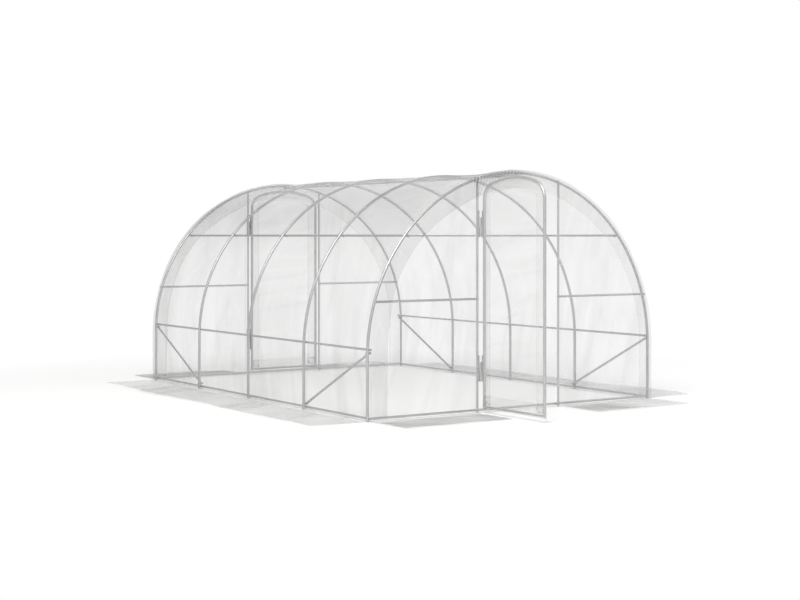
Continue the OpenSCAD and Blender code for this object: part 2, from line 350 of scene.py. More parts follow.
def film_mesh(name, us, vs, place, keep=None):
    """A sheet from a grid whose lines are at us and vs on the flat film, put in place by place(u, v)."""
    bm = bmesh.new()
    bmesh.ops.create_grid(bm, x_segments=len(us) - 1, y_segments=len(vs) - 1, size=0.5)
    mesh = bpy.data.meshes.new(name)
    bm.to_mesh(mesh)
    bm.free()
    co = np.zeros(len(mesh.vertices) * 3)
    mesh.vertices.foreach_get("co", co)
    co = co.reshape(-1, 3)
    i = np.rint((co[:, 0] + 0.5) * (len(us) - 1)).astype(int)
    j = np.rint((co[:, 1] + 0.5) * (len(vs) - 1)).astype(int)
    u, v = np.asarray(us)[i], np.asarray(vs)[j]
    spots, marks = place(u, v)
    mesh.vertices.foreach_set("co", spots.ravel())
    mark(mesh, **marks)
    corner = np.zeros(len(mesh.loops), int)
    mesh.loops.foreach_get("vertex_index", corner)
    flat = mesh.uv_layers.new(name="flat")
    flat.data.foreach_set("uv", np.column_stack([u, v])[corner].ravel())
    if keep is not None:
        bm = bmesh.new()
        bm.from_mesh(mesh)
        drop = np.flatnonzero(~keep(u, v))
        bm.verts.ensure_lookup_table()
        bmesh.ops.delete(bm, geom=[bm.verts[k] for k in drop], context="VERTS")
        bm.to_mesh(mesh)
        bm.free()
    mesh.update()
    return mesh


def steps(*spans):
    """Line places from (start, end, about how far apart) spans that follow each other."""
    out = [spans[0][0]]
    for start, end, gap in spans:
        count = max(1, round((end - start) / gap))
        out.extend(start + (end - start) * (k + 1) / count for k in range(count))
    return out


# ---- The gable films' shape, shared by the film and the band over it ---------

foot_r = 0.026                                   # the film turns onto the ground
ground_gap = 0.0015                              # the film's least height over the ground
gable_face = face_y + 0.0006
gable_slack = 0.010                              # how far the film hangs in between the tubes
pleat_pitch, pleat_depth = 0.034, 0.050          # of the gathers over the doorway
GABLE_SEED = {"front": 0.0, "back": 4.7}         # each gable has folds of its own


def gable_out(x, z, seed):
    """How far out from the tunnel's middle the gable film is, above the point (x, z)."""
    x0, r = np.abs(x), np.hypot(x, np.maximum(z - leg_h, 0))
    a, b = x + seed, z + seed * 0.7
    slack = smooth(post_x + 0.01, post_x + 0.16, x0) * (1 - smooth(arch_r - 0.14, arch_r, r))
    slack = slack * smooth(0.004, 0.16, np.abs(z - bar_z)) * smooth(0.0, 0.2, z)
    rim = np.exp(-np.maximum(arch_r - r, 0) / 0.10) * smooth(leg_h * 0.6, leg_h + 0.5, z)
    angle = np.arctan2(x, np.maximum(z - leg_h, 0.001))
    pleat = fold_two(angle * 13 + seed, r * 1.2) * 0.5 + 0.5
    long = folds(fold_one, a, b, 13, 0.13, 0.9)
    cross = folds(fold_two, a, b, -48, 0.19, 1.1)
    out = -gable_slack * slack * (0.55 + 0.45 * broad(a * 1.3, b * 1.1))
    out = out + slack * (0.0040 * long**3 + 0.0035 * cross**4 + 0.0012 * fine(a * 9, b * 7))
    return gable_face + out + 0.0028 * rim * pleat**2


# painted highlight on the ridges and painted shade in the hollows of the gable film's folds beside the posts
def gable_fold_shading(x, z, seed):
    a, b = x + seed, z + seed * 0.7
    beside = smooth(post_x, post_x + 0.12, np.abs(x))
    tone = folds(fold_one, a, b, 13, 0.13, 0.9) ** 2 - folds(fold_two, a, b, 17, 0.18, 1.0) ** 3
    tone = tone + 0.8 * folds(fold_two, a, b, 9, 0.10, 0.7) ** 5
    return np.clip(tone * beside, -1, 1)


def gathers(s, depth, way):
    """Small slanted pleats where the film is taken in over the doorway: s from the ridge, depth below the
    hoop, way -1 in the front gable and 1 in the back one."""
    zone = 1 - smooth(0.17, 0.36, np.abs(s - 0.24 * way))
    waver = 2.2 * broad(s * 5, depth * 4 + way)
    phase = (s + depth * 0.55) * 2 * math.pi / pleat_pitch + waver
    return zone * np.sin(phase) * np.exp(-depth / pleat_depth) * (0.75 + 0.25 * fine(s * 9, depth * 3))


# ---- Cover: skirt, wall, half-round, wall, skirt, in one sheet ----------------

cover_r = film_r - 0.0005
corner_r = 0.021
arc_len = quarter * cover_r
wall_end = arc_len + leg_h - foot_r              # where the wall begins to turn outwards
foot_end = wall_end + quarter * foot_r
skirt_end = foot_end + skirt_w - foot_r
turn_start = face_y + 0.0032 - corner_r          # where the cover turns onto the gable
turn_len = quarter * corner_r
turn_end = turn_start + turn_len
band_unit = 0.1                                  # the band on the gable, as wide as the grid has it
band_w, band_waver = 0.140, 0.010                # its real width
band_more = 0.035                                # wider by this on the front left leg
film_sag = 0.0190                                # between two hoops
sleeve_puff = 0.0085                             # the film stands off outside the end hoops
edge_limit = half_len + 0.036                    # the side skirts end here


def profile(s):
    """x, z and the outward direction on the tunnel's section, s metres along the film from the ridge."""
    bend = np.clip(s / cover_r, 0, quarter)
    turn = np.clip((s - wall_end) / foot_r, 0, quarter)
    x = cover_r * np.sin(bend) + foot_r * (1 - np.cos(turn)) + np.maximum(s - foot_end, 0)
    z = leg_h + cover_r * np.cos(bend)
    z = z - np.clip(s - arc_len, 0, wall_end - arc_len)
    z = np.where(s > wall_end, foot_r * (1 - np.sin(turn)), z)
    nx = np.where(s > wall_end, np.cos(turn), np.sin(bend))
    nz = np.where(s > wall_end, np.sin(turn), np.cos(bend))
    return x, z, nx, nz


def skirt_ripple(a, b, out):
    """Height of the film's waves on the ground, out metres from the wall."""
    loose = smooth(0.0, 0.12, out)
    waves = folds(fold_one, a, b, 18, 0.34, 1.3)**2 * 0.007 + folds(fold_two, a, b, -63, 0.27, 1.0)**3 * 0.005
    edge = smooth(0.75, 1.0, out / skirt_w) * (0.5 + 0.5 * fine(a * 2.3, b * 2.3)) * 0.006
    return ground_gap + loose * (waves + edge + 0.0004 * (1 + fine(a * 7, b * 6)))


def cover_slack(u, v, wall, ground, slant):
    """How far the film stands off the hoops' curve: its sag and its folds between them."""
    part = np.clip((v + half_len) / bay, 0, 4)
    part = part - np.minimum(np.floor(part), 3)  # 0 to 1 from one hoop to the next
    free = np.clip(4 * part * (1 - part), 0, 1) * (np.abs(v) < half_len)
    near = np.exp(-np.minimum(part, 1 - part) * bay / 0.06)
    sag = -film_sag * free * (0.85 + 0.3 * broad(u * 0.8, v * 1.1))
    along = fold_one(u * 1.1 + 3, v * 9) * 0.5 + 0.5
    waves = 0.0022 * along * (0.4 + near) + 0.0042 * slant + 0.0010 * fine(u * 8, v * 8)
    hang = wall * (0.0070 * folds(fold_two, v, u, 7, 0.12, 1.4)**2 + 0.003 * broad(v * 3, u * 2))
    return (1 - ground) * (sag + free**0.5 * (waves + hang))


def cover_marks(u, v, across, on_gable, taken_in, wall, slant):
    """What the film material reads: hems, folds and how dense the film looks."""
    s, side, end = np.abs(u), np.where(u < 0, -1.0, 1.0), np.abs(v)
    hems_and_gather_highlight = smooth(skirt_end - 0.018, skirt_end - 0.014, s) * 0.6 + smooth(0.86, 0.9, on_gable) * 0.5
    # painted highlight: the ridges of the gathers over the doorway are drawn white like a hem
    hems_and_gather_highlight = hems_and_gather_highlight + 2.6 * np.maximum(taken_in, 0) ** 2
    hems_and_gather_highlight = hems_and_gather_highlight + 0.7 * smooth(wall_end + 0.006, foot_end, s) * (1 - smooth(foot_end, foot_end + 0.02, s))
    # painted highlight and shade along the folds of the walls, fainter along the slant folds higher up
    lines = folds(fold_two, v + side * 3, u, 11, 0.16, 1.5) ** 2 - folds(fold_one, v, u, 15, 0.22, 1.1) ** 3
    lines = lines * smooth(arc_len - 1.4, arc_len + 0.1, s) * 0.9 + 0.25 * (1 - wall) * (slant - 0.6)
    # painted lighter and darker streaks on the skirts
    streaks = folds(fold_one, across, v, 62, 0.16, 1.0) ** 3
    streaks = streaks - 0.7 * folds(fold_two, across, v, 51, 0.24, 1.1) ** 3
    # the skirts take the streaks, the rest the fold lines but not the band on the gable; painted shade in the
    # gathers' hollows
    crease = np.where(s > foot_end, streaks * 0.7, lines * (on_gable == 0)) + np.minimum(taken_in * 1.6, 0)
    # painted shade: the left side is drawn denser and darker, most of all on top; the band on the gable is a
    # little denser
    top = smooth(0.45, 0.85, profile(s)[3]) * (s < arc_len) * (end < half_len + 0.01)
    left = 1 - smooth(-0.12, 0.30, u)
    dense = 0.70 + 0.55 * left + (0.25 + 0.40 * left) * top + 0.25 * (on_gable > 0)
    # painted shade: the skirts on the ground are drawn denser, the left one most towards the front, and so
    # are the gathers' hollows
    on_ground = smooth(foot_end - 0.02, foot_end + 0.06, s)
    on_soil = 0.95 + (0.50 - 0.70 * smooth(1.0, 2.0, v)) * left
    dense = dense * (1 - on_ground) + on_soil * on_ground + 2.6 * np.maximum(-taken_in, 0)
    return {"weld": np.clip(hems_and_gather_highlight, 0, 1.6), "crease": np.clip(crease, -1, 1), "dense": dense}


def cover_place(u, v):
    """u runs from the left skirt's hem over the ridge to the right one's; v along the tunnel."""
    s, side, end = np.abs(u), np.where(u < 0, -1.0, 1.0), np.abs(v)
    way = np.where(v < 0, -1.0, 1.0)
    x, z, nx, nz = profile(s)
    ground = smooth(wall_end, foot_end, s)
    wall = smooth(arc_len - 0.5, arc_len + 0.1, s) * (1 - ground)
    # along the tunnel, the turn onto the gable and the band on it
    angle = np.clip((end - turn_start) / turn_len, 0, 1) * quarter
    front_left = smooth(1.6, 2.4, s) * (u < 0) * (v < 0)
    width = band_w + band_waver * broad(u * 1.3, 9.3) + band_more * front_left
    on_gable = np.maximum(end - turn_start - turn_len, 0) / band_unit
    y = np.minimum(end, turn_start) + corner_r * np.sin(angle)
    lift = corner_r * (np.cos(angle) - 1) - on_gable * width
    slant = folds(fold_two, u, v, 27, 0.21, 1.3)**3 + folds(fold_one, u, v, -34, 0.26, 1.1)**3
    upright = cover_slack(u, v, wall, ground, slant)
    # loose sleeve of film just outside the end hoops
    sleeve = smooth(half_len - 0.07, half_len + 0.02, end) * (1 - ground)
    puff = sleeve * (sleeve_puff + 0.0045 * broad(u * 2.6, 1.7) + 0.0022 * fine(u * 14, v * 6))
    d = lift + upright + puff
    x, z = x + nx * d, z + nz * d
    taken_in = gathers(u, on_gable * width, way) * smooth(0.0, 1.0, angle / quarter)
    loose = 0.0008 * (1 + fine(u * 9, v * 5)) * (1 - on_gable) + 0.0034 * (taken_in + np.abs(taken_in))
    seed = np.where(v < 0, GABLE_SEED["front"], GABLE_SEED["back"])
    on_film = gable_out(x * side, z, seed) + 0.0012 + loose
    y = np.where(on_gable > 0, on_film, y + loose * angle / quarter)
    # the skirt on the ground
    out = np.maximum(s - foot_end, 0)
    rise = skirt_ripple(x * side, v, out)
    z = np.where(s > foot_end, rise, np.maximum(z, ground_gap * smooth(0, 1, ground)))
    sway = smooth(0.1, skirt_w, out)
    x = x + sway * (0.045 * edge_wave(v * 1.25, side * 5.0) + 0.012 * fine(v * 4.0, side * 3.0))
    y = np.where(s > foot_end, np.minimum(y, edge_limit), y)
    spots = np.column_stack([x * side, y * np.sign(v) + mid_y, z])
    return spots, cover_marks(u, v, x * side, on_gable, taken_in, wall, slant)


cover_us = steps((-skirt_end, -foot_end, 0.026), (-foot_end, -wall_end, 0.008), (-wall_end, -0.8, 0.025),
                 (-0.8, 0.8, 0.0125), (0.8, wall_end, 0.025), (wall_end, foot_end, 0.008),
                 (foot_end, skirt_end, 0.026))
cover_vs = steps((-turn_end - band_unit, -turn_end, 0.0125), (-turn_end, -turn_start, 0.0055),
                 (-turn_start, -half_len + 0.1, 0.014), (-half_len + 0.1, half_len - 0.1, 0.028),
                 (half_len - 0.1, turn_start, 0.014), (turn_start, turn_end, 0.0055),
                 (turn_end, turn_end + band_unit, 0.0125))
cover = piece("cover_film", film_mesh(
    "cover_film", cover_us, cover_vs, cover_place,
    keep=lambda u, v: (np.abs(u) < wall_end + 0.001) | (np.abs(v) < turn_start + 0.0001)),
    film_finish, "tunnel")
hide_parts("film_wall_left", "film_arch_left", "film_crown", "film_arch_right", "film_wall_right",
            "skirt_left", "skirt_right")
2 * skirt_end

# ---- Gable films, with the doorway cut out and a skirt at the foot -----------

gable_rim = cover_r - 0.017                      # inside the cover's turn
film_grow = door_r + 0.015                       # the doorway is larger than the door's arch
side_top = over_low + 0.004                      # up to here the film's lines are level
over_span = 0.62                                 # half the film's length over the doorway, on the grid
rim_x = math.sqrt(gable_rim**2 - (side_top - leg_h) ** 2)
rim_angle = math.atan2(side_top - leg_h, rim_x)
skirt_reach = skirt_w - 0.004
turn_angle = math.atan2(spring_z - crown_z, shoulder_x)   # where the arch's shoulder and crown meet
join_x = crown_r * math.cos(turn_angle)


def doorway(t):
    """x and z on the doorway's edge over the door, t from 0 at the post to 1 at the crown."""
    shoulder, crown = shoulder_r + film_grow, crown_r + film_grow
    shoulder_len, crown_len = shoulder * turn_angle, crown * (quarter - turn_angle)
    far = t * (shoulder_len + crown_len)
    on_shoulder = np.clip(far / shoulder, 0, turn_angle)
    on_crown = turn_angle + np.clip((far - shoulder_len) / crown, 0, quarter - turn_angle)
    low = far <= shoulder_len
    x = np.where(low, shoulder_x + shoulder * np.cos(on_shoulder), crown * np.cos(on_crown))
    z = np.where(low, spring_z + shoulder * np.sin(on_shoulder), crown_z + crown * np.sin(on_crown))
    return x, z


def gable_flat(u, v):
    """x and z on the gable's right half, the height of the film's line, its distance from the doorway's
    edge, and whether it is over the doorway."""
    over = np.abs(u) < over_span
    height = side_top + over_span - np.abs(u)
    up = np.clip(height, 0, side_top)
    rim = np.sqrt(np.maximum(gable_rim**2 - np.maximum(up - leg_h, 0) ** 2, 0))
    part = 1 - np.abs(u) / over_span             # over the doorway the lines run from its edge to the hoop
    xi, zi = doorway(part)
    angle = rim_angle + (quarter - rim_angle) * part
    xo, zo = gable_rim * np.cos(angle), leg_h + gable_rim * np.sin(angle)
    x = np.where(over, xi + (xo - xi) * v, film_edge_x + (rim - film_edge_x) * v)
    z = np.where(over, zi + (zo - zi) * v, up)
    from_edge = v * np.where(over, np.hypot(xo - xi, zo - zi), rim - film_edge_x)
    return x, z, height, from_edge, over


def gable_place(sign, seed):
    """The place function of one gable film: its u runs from the left skirt's hem up, over the door and
    down to the right one's, its v from 0 at the doorway to 1 at the hoop."""
    def place(u, v):
        side = np.where(u < 0, -1.0, 1.0)
        x, z, height, from_edge, over = gable_flat(u, v)
        xs = x * side
        out = gable_out(xs, z, seed)
        # foot and skirt
        down = np.maximum(foot_r - height, 0)
        turn = np.clip(down / foot_r, 0, quarter)
        flat_out = np.maximum(down - quarter * foot_r, 0)
        turning = height < foot_r
        reach = flat_out / (skirt_reach - foot_r)
        y = out + np.where(turning, foot_r * (1 - np.cos(turn)) + flat_out, 0)
        z = np.where(turning, foot_r * (1 - np.sin(turn)), z)
        rise = skirt_ripple(xs + 7 * seed + 2, y * sign, flat_out)
        z = np.where(flat_out > 0, rise, np.maximum(z, ground_gap))
        y = y + smooth(0.2, 1.0, reach) * (0.022 * edge_wave(xs * 1.7 + seed, 4.4) - 0.006)
        spread = smooth(0.0, 1.0, reach) * 0.02 * edge_wave(y * 3.0, 2.0 + seed)
        xs = xs + np.where(turning, spread, 0) * side
        # what the material reads: hems, painted highlight and shade on the folds and the skirt, and painted
        # shade as density on the skirt
        hems_and_gather_highlight = smooth(0.975, 0.985, reach) * 0.6 + (1 - smooth(0.018, 0.024, from_edge)) * (~over) * 0.7
        hems_and_gather_highlight = hems_and_gather_highlight + (1 - smooth(0.014, 0.018, from_edge)) * over * 1.3
        hems_and_gather_highlight = hems_and_gather_highlight + 0.7 * smooth(0.4, 1.3, turn) * (1 - smooth(0.0, 0.02, flat_out))
        # painted lighter and darker streaks on the skirt, painted highlight and shade along the folds above
        # it
        streaks = folds(fold_one, xs + 3 * seed, y, 62, 0.16, 1.0) ** 3
        streaks = streaks - 0.7 * folds(fold_two, xs, y, 71, 0.24, 1.1) ** 3
        crease = np.where(flat_out > 0, streaks, gable_fold_shading(xs, z, seed))
        # painted shade: the skirt on the ground is drawn denser and darker, less so towards the right
        dense = 1 + 0.95 * smooth(0, 0.06, flat_out) * (1 - 1.3 * smooth(0.7, 1.2, xs))
        return np.column_stack([xs, sign * y + mid_y, z]), {
            "weld": np.clip(hems_and_gather_highlight, 0, 1.3), "crease": np.clip(crease, -1, 1), "dense": dense}
    return place


skirt_us = quarter * foot_r + skirt_reach - foot_r
half_u = over_span + side_top - foot_r + skirt_us
gable_us = steps((-half_u, -half_u + skirt_us - quarter * foot_r, 0.022),
                 (-half_u + skirt_us - quarter * foot_r, -half_u + skirt_us, 0.006),
                 (-half_u + skirt_us, -over_span, 0.020), (-over_span, 0, 0.0155))
gable_us = gable_us + [-u for u in reversed(gable_us[:-1])]
gable_vs = steps((0, 0.03, 0.006), (0.03, 1, 0.0182))
for end, sign in (("front", -1), ("back", 1)):
    mesh = film_mesh(end + "_gable_film", gable_us, gable_vs, gable_place(sign, GABLE_SEED[end]))
    film = piece(end + "_gable_film", mesh, film_finish, "tunnel")
    names = [end + "_film_left", end + "_film_right", end + "_film_over_door"]
    names += ["skirt_front_left", "skirt_front_right"] if end == "front" else ["skirt_back"]
    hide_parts(*names)

# ---- Door films, wrapped round the frames ------------------------------------

wrap_r = door_r + 0.0004
wrap_steps = 7                                   # rows round the tube, and as many along the flap
flap_w = 0.095                                   # width of the doubled border inside the frame
door_face = face_y + 0.0003
door_slack = 0.0055
arch_puff, foot_puff = 0.0095, 0.006             # how far the border stands off the tube
HINGE_TURN = {"front": math.radians(-90), "back": 0.0}   # the front door stands open


def door_arch_z(x):
    x = np.abs(x)
    shoulder = spring_z + np.sqrt(np.maximum(shoulder_r**2 - np.maximum(x - shoulder_x, 0) ** 2, 0))
    crown = crown_z + np.sqrt(crown_r**2 - np.minimum(x, join_x) ** 2)
    return np.where(x > join_x, shoulder, crown)


def inside_frame(x, z):
    """How far a point is inside the middle of the door's tubes."""
    x = np.abs(x)
    on_shoulder = shoulder_r - np.hypot(x - shoulder_x, z - spring_z)
    on_crown = crown_r - np.hypot(x, z - crown_z)
    over = np.where((x > shoulder_x) & (z > spring_z) & (on_shoulder < on_crown + 1), on_shoulder, on_crown)
    return np.minimum(np.minimum(door_half - x, z - rail_z), np.where(z > spring_z - 0.05, over, 9))


def door_out(x, z, seed):
    """How far out from the tunnel's middle a closed door's film is."""
    slack = smooth(0.014, 0.14, inside_frame(x, z))
    long = folds(fold_two, x + seed, z, 84, 0.11, 1.2)
    cross = folds(fold_one, x + seed, z, 38, 0.17, 1.0)
    out = -door_slack * slack * (0.7 + 0.3 * broad(x * 2 + seed, z * 1.3))
    rough = 0.0028 * long**3 + 0.0026 * cross**4 + 0.0008 * fine(x * 10 + seed, z * 7)
    return door_face + out + slack * rough


# painted highlight on the ridges and painted shade in the hollows of the door film's folds
def door_fold_shading(x, z, seed):
    inside = smooth(0.0, 0.10, inside_frame(x, z))
    tone = folds(fold_two, x + seed, z, 84, 0.11, 1.2) ** 3 - folds(fold_one, x + seed, z, 80, 0.15, 1.0) ** 3
    return np.clip(inside * tone * 0.8, -1, 1)


def hung(points, end):
    """From a closed front door's own place (x, out from the middle, z) to where that door is."""
    points = np.asarray(points, float)
    sign = -1 if end == "front" else 1
    pin = hinges[end]["pos_m"]
    dx, dy = points[:, 0] - pin[0], sign * points[:, 1] + mid_y - pin[1]
    c, s = math.cos(HINGE_TURN[end]), math.sin(HINGE_TURN[end])
    return np.column_stack([pin[0] + dx * c - dy * s, pin[1] + dx * s + dy * c, points[:, 2]])


def outward_at(x, z, on_top, on_side, on_foot):
    """The direction in the door's plane in which the film leaves the frame at a point of its outline."""
    n = Vector((0, 0))
    if on_top:
        centre = (math.copysign(shoulder_x, x), spring_z) if abs(x) > join_x else (0, crown_z)
        n = Vector((x - centre[0], z - centre[1])).normalized()
    elif on_side:
        n = Vector((math.copysign(1, x), 0))
    if on_foot:
        n = n + Vector((0, -1))
    return n


def wrap_rows():
    """The rows of the film's border: first round the tube, then back along the flap inside the frame. Each is
    (aside from the outline, depth behind the face, length of film, give)."""
    rows = []
    for k in range(1, wrap_steps + 1):
        a = math.pi * k / wrap_steps
        rows.append((math.sin(a) * wrap_r, wrap_r * (1 - math.cos(a)), a * wrap_r, math.sin(a) ** 2))
    for k in range(1, wrap_steps + 1):
        t = k / wrap_steps
        rows.append((-flap_w * t, 2 * wrap_r * (1 - t) ** 1.5 + 0.0012, math.pi * wrap_r + flap_w * t, 0.0))
    return rows


def door_film_mesh(end, seed):
    columns = [door_half * math.sin(quarter * k / 24) for k in range(-24, 25)]
    rows, last = 92, len(columns) - 1
    bm = bmesh.new()
    bmesh.ops.create_grid(bm, x_segments=last, y_segments=rows, size=0.5)
    bm.verts.ensure_lookup_table()
    flat, weld, outward = {}, {}, {}
    for vert in bm.verts:
        i, j = round((vert.co.x + 0.5) * last), round((vert.co.y + 0.5) * rows)
        x = columns[i]
        z = rail_z + (float(door_arch_z(x)) - rail_z) * j / rows
        flat[vert] = (x, z)
        n = outward_at(x, z, j == rows, i in (0, last), j == 0)
        if n.length:
            outward[vert] = n
    spots = np.array([flat[v] for v in bm.verts])
    outs = door_out(spots[:, 0], spots[:, 1], seed)
    inside = inside_frame(spots[:, 0], spots[:, 1])
    welds = smooth(flap_w - 0.011, flap_w - 0.008, inside)
    welds = welds * (1 - smooth(flap_w - 0.001, flap_w + 0.002, inside))
    for k, vert in enumerate(bm.verts):
        weld[vert] = float(welds[k])
        vert.co = (spots[k, 0], outs[k], spots[k, 1])
    edge = [e for e in bm.edges if e.is_boundary]
    ring = {v: v for e in edge for v in e.verts}
    base = {v: (flat[v], outward[v]) for v in ring}
    for step, (aside, deep, far, give) in enumerate(wrap_rows()):
        made = bmesh.ops.extrude_edge_only(bm, edges=edge)["geom"]
        fresh = {v for v in made if isinstance(v, bmesh.types.BMVert)}
        edge = [e for e in made if isinstance(e, bmesh.types.BMEdge) and all(v in fresh for v in e.verts)]
        following = {}
        for vert in fresh:
            old = next(e.other_vert(vert) for e in vert.link_edges if e.other_vert(vert) in ring)
            root = ring[old]
            (x, z), n = base[root]
            # the film stands a little off the tube round the arch and at the lower corners
            arched = float(smooth(spring_z - 0.02, spring_z + 0.07, z))
            puff = arch_puff * arched * (0.75 + 0.25 * math.sin(x * 140 + 40 * z))
            puff = give * (puff + foot_puff * (1 - smooth(rail_z, rail_z + 0.06, z)))
            px, pz = x + n.x * (aside + puff), z + n.y * (aside + puff)
            weld[vert] = 0.0
            if step < wrap_steps:
                y = door_face - deep
                if 1 < step < wrap_steps - 1:
                    weld[vert] = 0.9 * arched
            else:
                loose = 0.0
                if step < 2 * wrap_steps - 2:    # the flap is loose but for its hem
                    loose = 0.0012 * float(fine(np.array(x * 17 + z * 3 + seed), np.array(z * 15.0)))
                else:
                    weld[vert] = 0.5 - 0.35 * max(arched, 1 - (z - rail_z) / 0.12)
                film_y = float(door_out(np.array(px), np.array(pz), seed))
                y = min(door_face, film_y) - (deep + loose)
            vert.co = (px, y, pz)
            flat[vert] = (x + n.x * far, z + n.y * far)
            following[vert] = root
        ring = following
    order = list(bm.verts)
    if end == "front":
        bmesh.ops.reverse_faces(bm, faces=bm.faces)
    uv = bm.loops.layers.uv.new("flat")
    for face in bm.faces:
        for loop in face.loops:
            loop[uv].uv = flat[loop.vert]
    places = hung([v.co for v in order], end)
    strength = [weld[v] for v in order]
    across, up = np.array([flat[v] for v in order]).T
    for vert, place in zip(order, places):
        vert.co = place
    mesh = bpy.data.meshes.new(end + "_door_sheet")
    bm.verts.index_update()
    bm.to_mesh(mesh)
    bm.free()
    mark(mesh, weld=strength, crease=door_fold_shading(across, up, seed))
    return mesh


for end, seed in (("front", 2.3), ("back", 8.9)):
    film = piece(end + "_door_sheet", door_film_mesh(end, seed), film_finish, end + "_door")
    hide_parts(end + "_door_film")

# ---- Bolts, nuts, washers, screws, plugs and joint sleeves --------------------


sharp_edge = math.radians(35)


def turned_shape(outline, sides):
    """A closed round shape from (radius, height) points, from its lower middle to its upper middle."""
    bm = bmesh.new()
    verts = [bm.verts.new((r, 0, h)) for r, h in outline]
    edges = [bm.edges.new(pair) for pair in zip(verts, verts[1:])]
    bmesh.ops.spin(bm, geom=verts + edges, cent=(0, 0, 0), axis=(0, 0, 1), angle=2 * math.pi,
                   steps=sides, use_merge=True)
    bmesh.ops.remove_doubles(bm, verts=bm.verts, dist=1e-6)
    bmesh.ops.recalc_face_normals(bm, faces=bm.faces)
    return bm


def domed_head(radius, height):
    points = [(0, -0.0006), (radius, -0.0006), (radius, height * 0.18)]
    points += [(radius * math.cos(a), height * 0.18 + height * 0.82 * math.sin(a))
               for a in (quarter * k / 6 for k in range(1, 6))]
    return turned_shape(points + [(0, height)], 20)


def hex_nut(flats, height):
    bm = bmesh.new()
    radius = flats / math.sqrt(3)
    bmesh.ops.create_cone(bm, cap_ends=True, segments=6, radius1=radius, radius2=radius, depth=height)
    bmesh.ops.translate(bm, verts=bm.verts, vec=(0, 0, height / 2))
    bmesh.ops.bevel(bm, geom=list(bm.edges), offset=flats * 0.05, offset_type="OFFSET", segments=2,
                    profile=0.5, affect="EDGES", material=-1)
    return bm


def washer(hole, radius, height):
    soft = height * 0.25
    outline = [(hole, 0), (radius - soft, 0), (radius, soft), (radius, height - soft),
               (radius - soft, height), (hole, height), (hole, 0)]
    return turned_shape(outline, 24)


def thread_end(radius, length):
    """The end of the bolt that shows past its nut, with its thread as fine rings."""
    points, pitch = [(0, -0.001), (radius, -0.001)], 0.001
    h = 0.0
    while h < length - pitch:
        points += [(radius, h), (radius * 0.86, h + pitch / 2)]
        h += pitch
    return turned_shape(points + [(radius, h), (radius * 0.8, length), (0, length)], 14)


def joined(shapes):
    """One mesh from (bmesh, matrix) pairs."""
    total = bmesh.new()
    for shape, matrix in shapes:
        scratch = bpy.data.meshes.new("scratch")
        shape.to_mesh(scratch)
        scratch.transform(matrix)
        total.from_mesh(scratch)
        bpy.data.meshes.remove(scratch)
    return total


def facing(place, direction, spin=0.0):
    turn = Vector(direction).to_track_quat("Z", "Y").to_matrix().to_4x4()
    return Matrix.Translation(Vector(place)) @ turn @ Matrix.Rotation(spin, 4, "Z")


def hardware(name, shapes, finish, body):
    bm = joined(shapes)
    mesh = bpy.data.meshes.new(name)
    bm.to_mesh(mesh)
    bm.free()
    made = piece(name, mesh, finish, body)
    made.data.set_sharp_from_angle(angle=sharp_edge)


washer_h, tip_up = 0.0014, 0.0062                # the washer's thickness, and where the thread comes out
head, nut = domed_head(0.0068, 0.0024), hex_nut(0.010, 0.0050)
ring, tip = washer(0.0032, 0.0085, washer_h), thread_end(0.0029, 0.0042)
heads, nuts, rings, tips = [], [], [], []
turn_by = np.random.default_rng(5)


def bolt(outer, inner):
    """A bolt through what is between two points: its head at outer, its washer and nut at inner."""
    outer, inner = Vector(outer), Vector(inner)
    out = (outer - inner).normalized()
    spin = float(turn_by.uniform(0, 6.28))
    heads.append((head, facing(outer, out, spin)))
    rings.append((ring, facing(inner, -out, spin)))
    nuts.append((nut, facing(inner - out * washer_h, -out, spin)))
    tips.append((tip, facing(inner - out * tip_up, -out, spin)))


def tube_middle(node):
    """The tube's middle in the tunnel's section, x and z."""
    spot = middle(node)
    return spot.x, spot.z


head_sunk = 0.0003                               # a bolt's head on a round tube
outer_r = arch_r + tube_r
long_tubes = ["ridge_tube", "upper_purlin_left", "upper_purlin_right", "lower_purlin_left",
              "lower_purlin_right", "ground_rail_left", "ground_rail_right"]
for y in hoop_ys:
    for node in long_tubes:
        x, z = tube_middle(node)
        if z > leg_h:
            away, reach = Vector((x, 0, z - leg_h)).normalized(), math.hypot(x, z - leg_h)
        else:
            away, reach = Vector((math.copysign(1, x), 0, 0)), abs(x)
        centre = Vector((0, y + mid_y, min(z, leg_h)))
        bolt(centre + away * (outer_r - head_sunk), centre + away * (reach - purlin_r))
# the brace's ends meet the middle of the hoop's tube, and each bolt sits a little way in from the end
bolt_in = 0.006
bolt_seat = arch_r + math.sqrt(tube_r**2 - bolt_in**2) - head_sunk
for side, node in ((-1, "braces_left"), (1, "braces_right")):
    low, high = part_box(node)
    tilt = math.atan2(high.z - low.z - 2 * purlin_r, bay)
    end_r, step_z = purlin_r * math.cos(tilt), bolt_in * math.tan(tilt)
    brace_inside = (low.x + high.x) / 2 - side * purlin_r
    ends = ((half_len - bolt_in, high.z - end_r - step_z), (half_len - bay + bolt_in, low.z + end_r + step_z))
    for sign in (-1, 1):
        for y, z in ends:
            bolt((side * bolt_seat, sign * y + mid_y, z), (brace_inside, sign * y + mid_y, z))
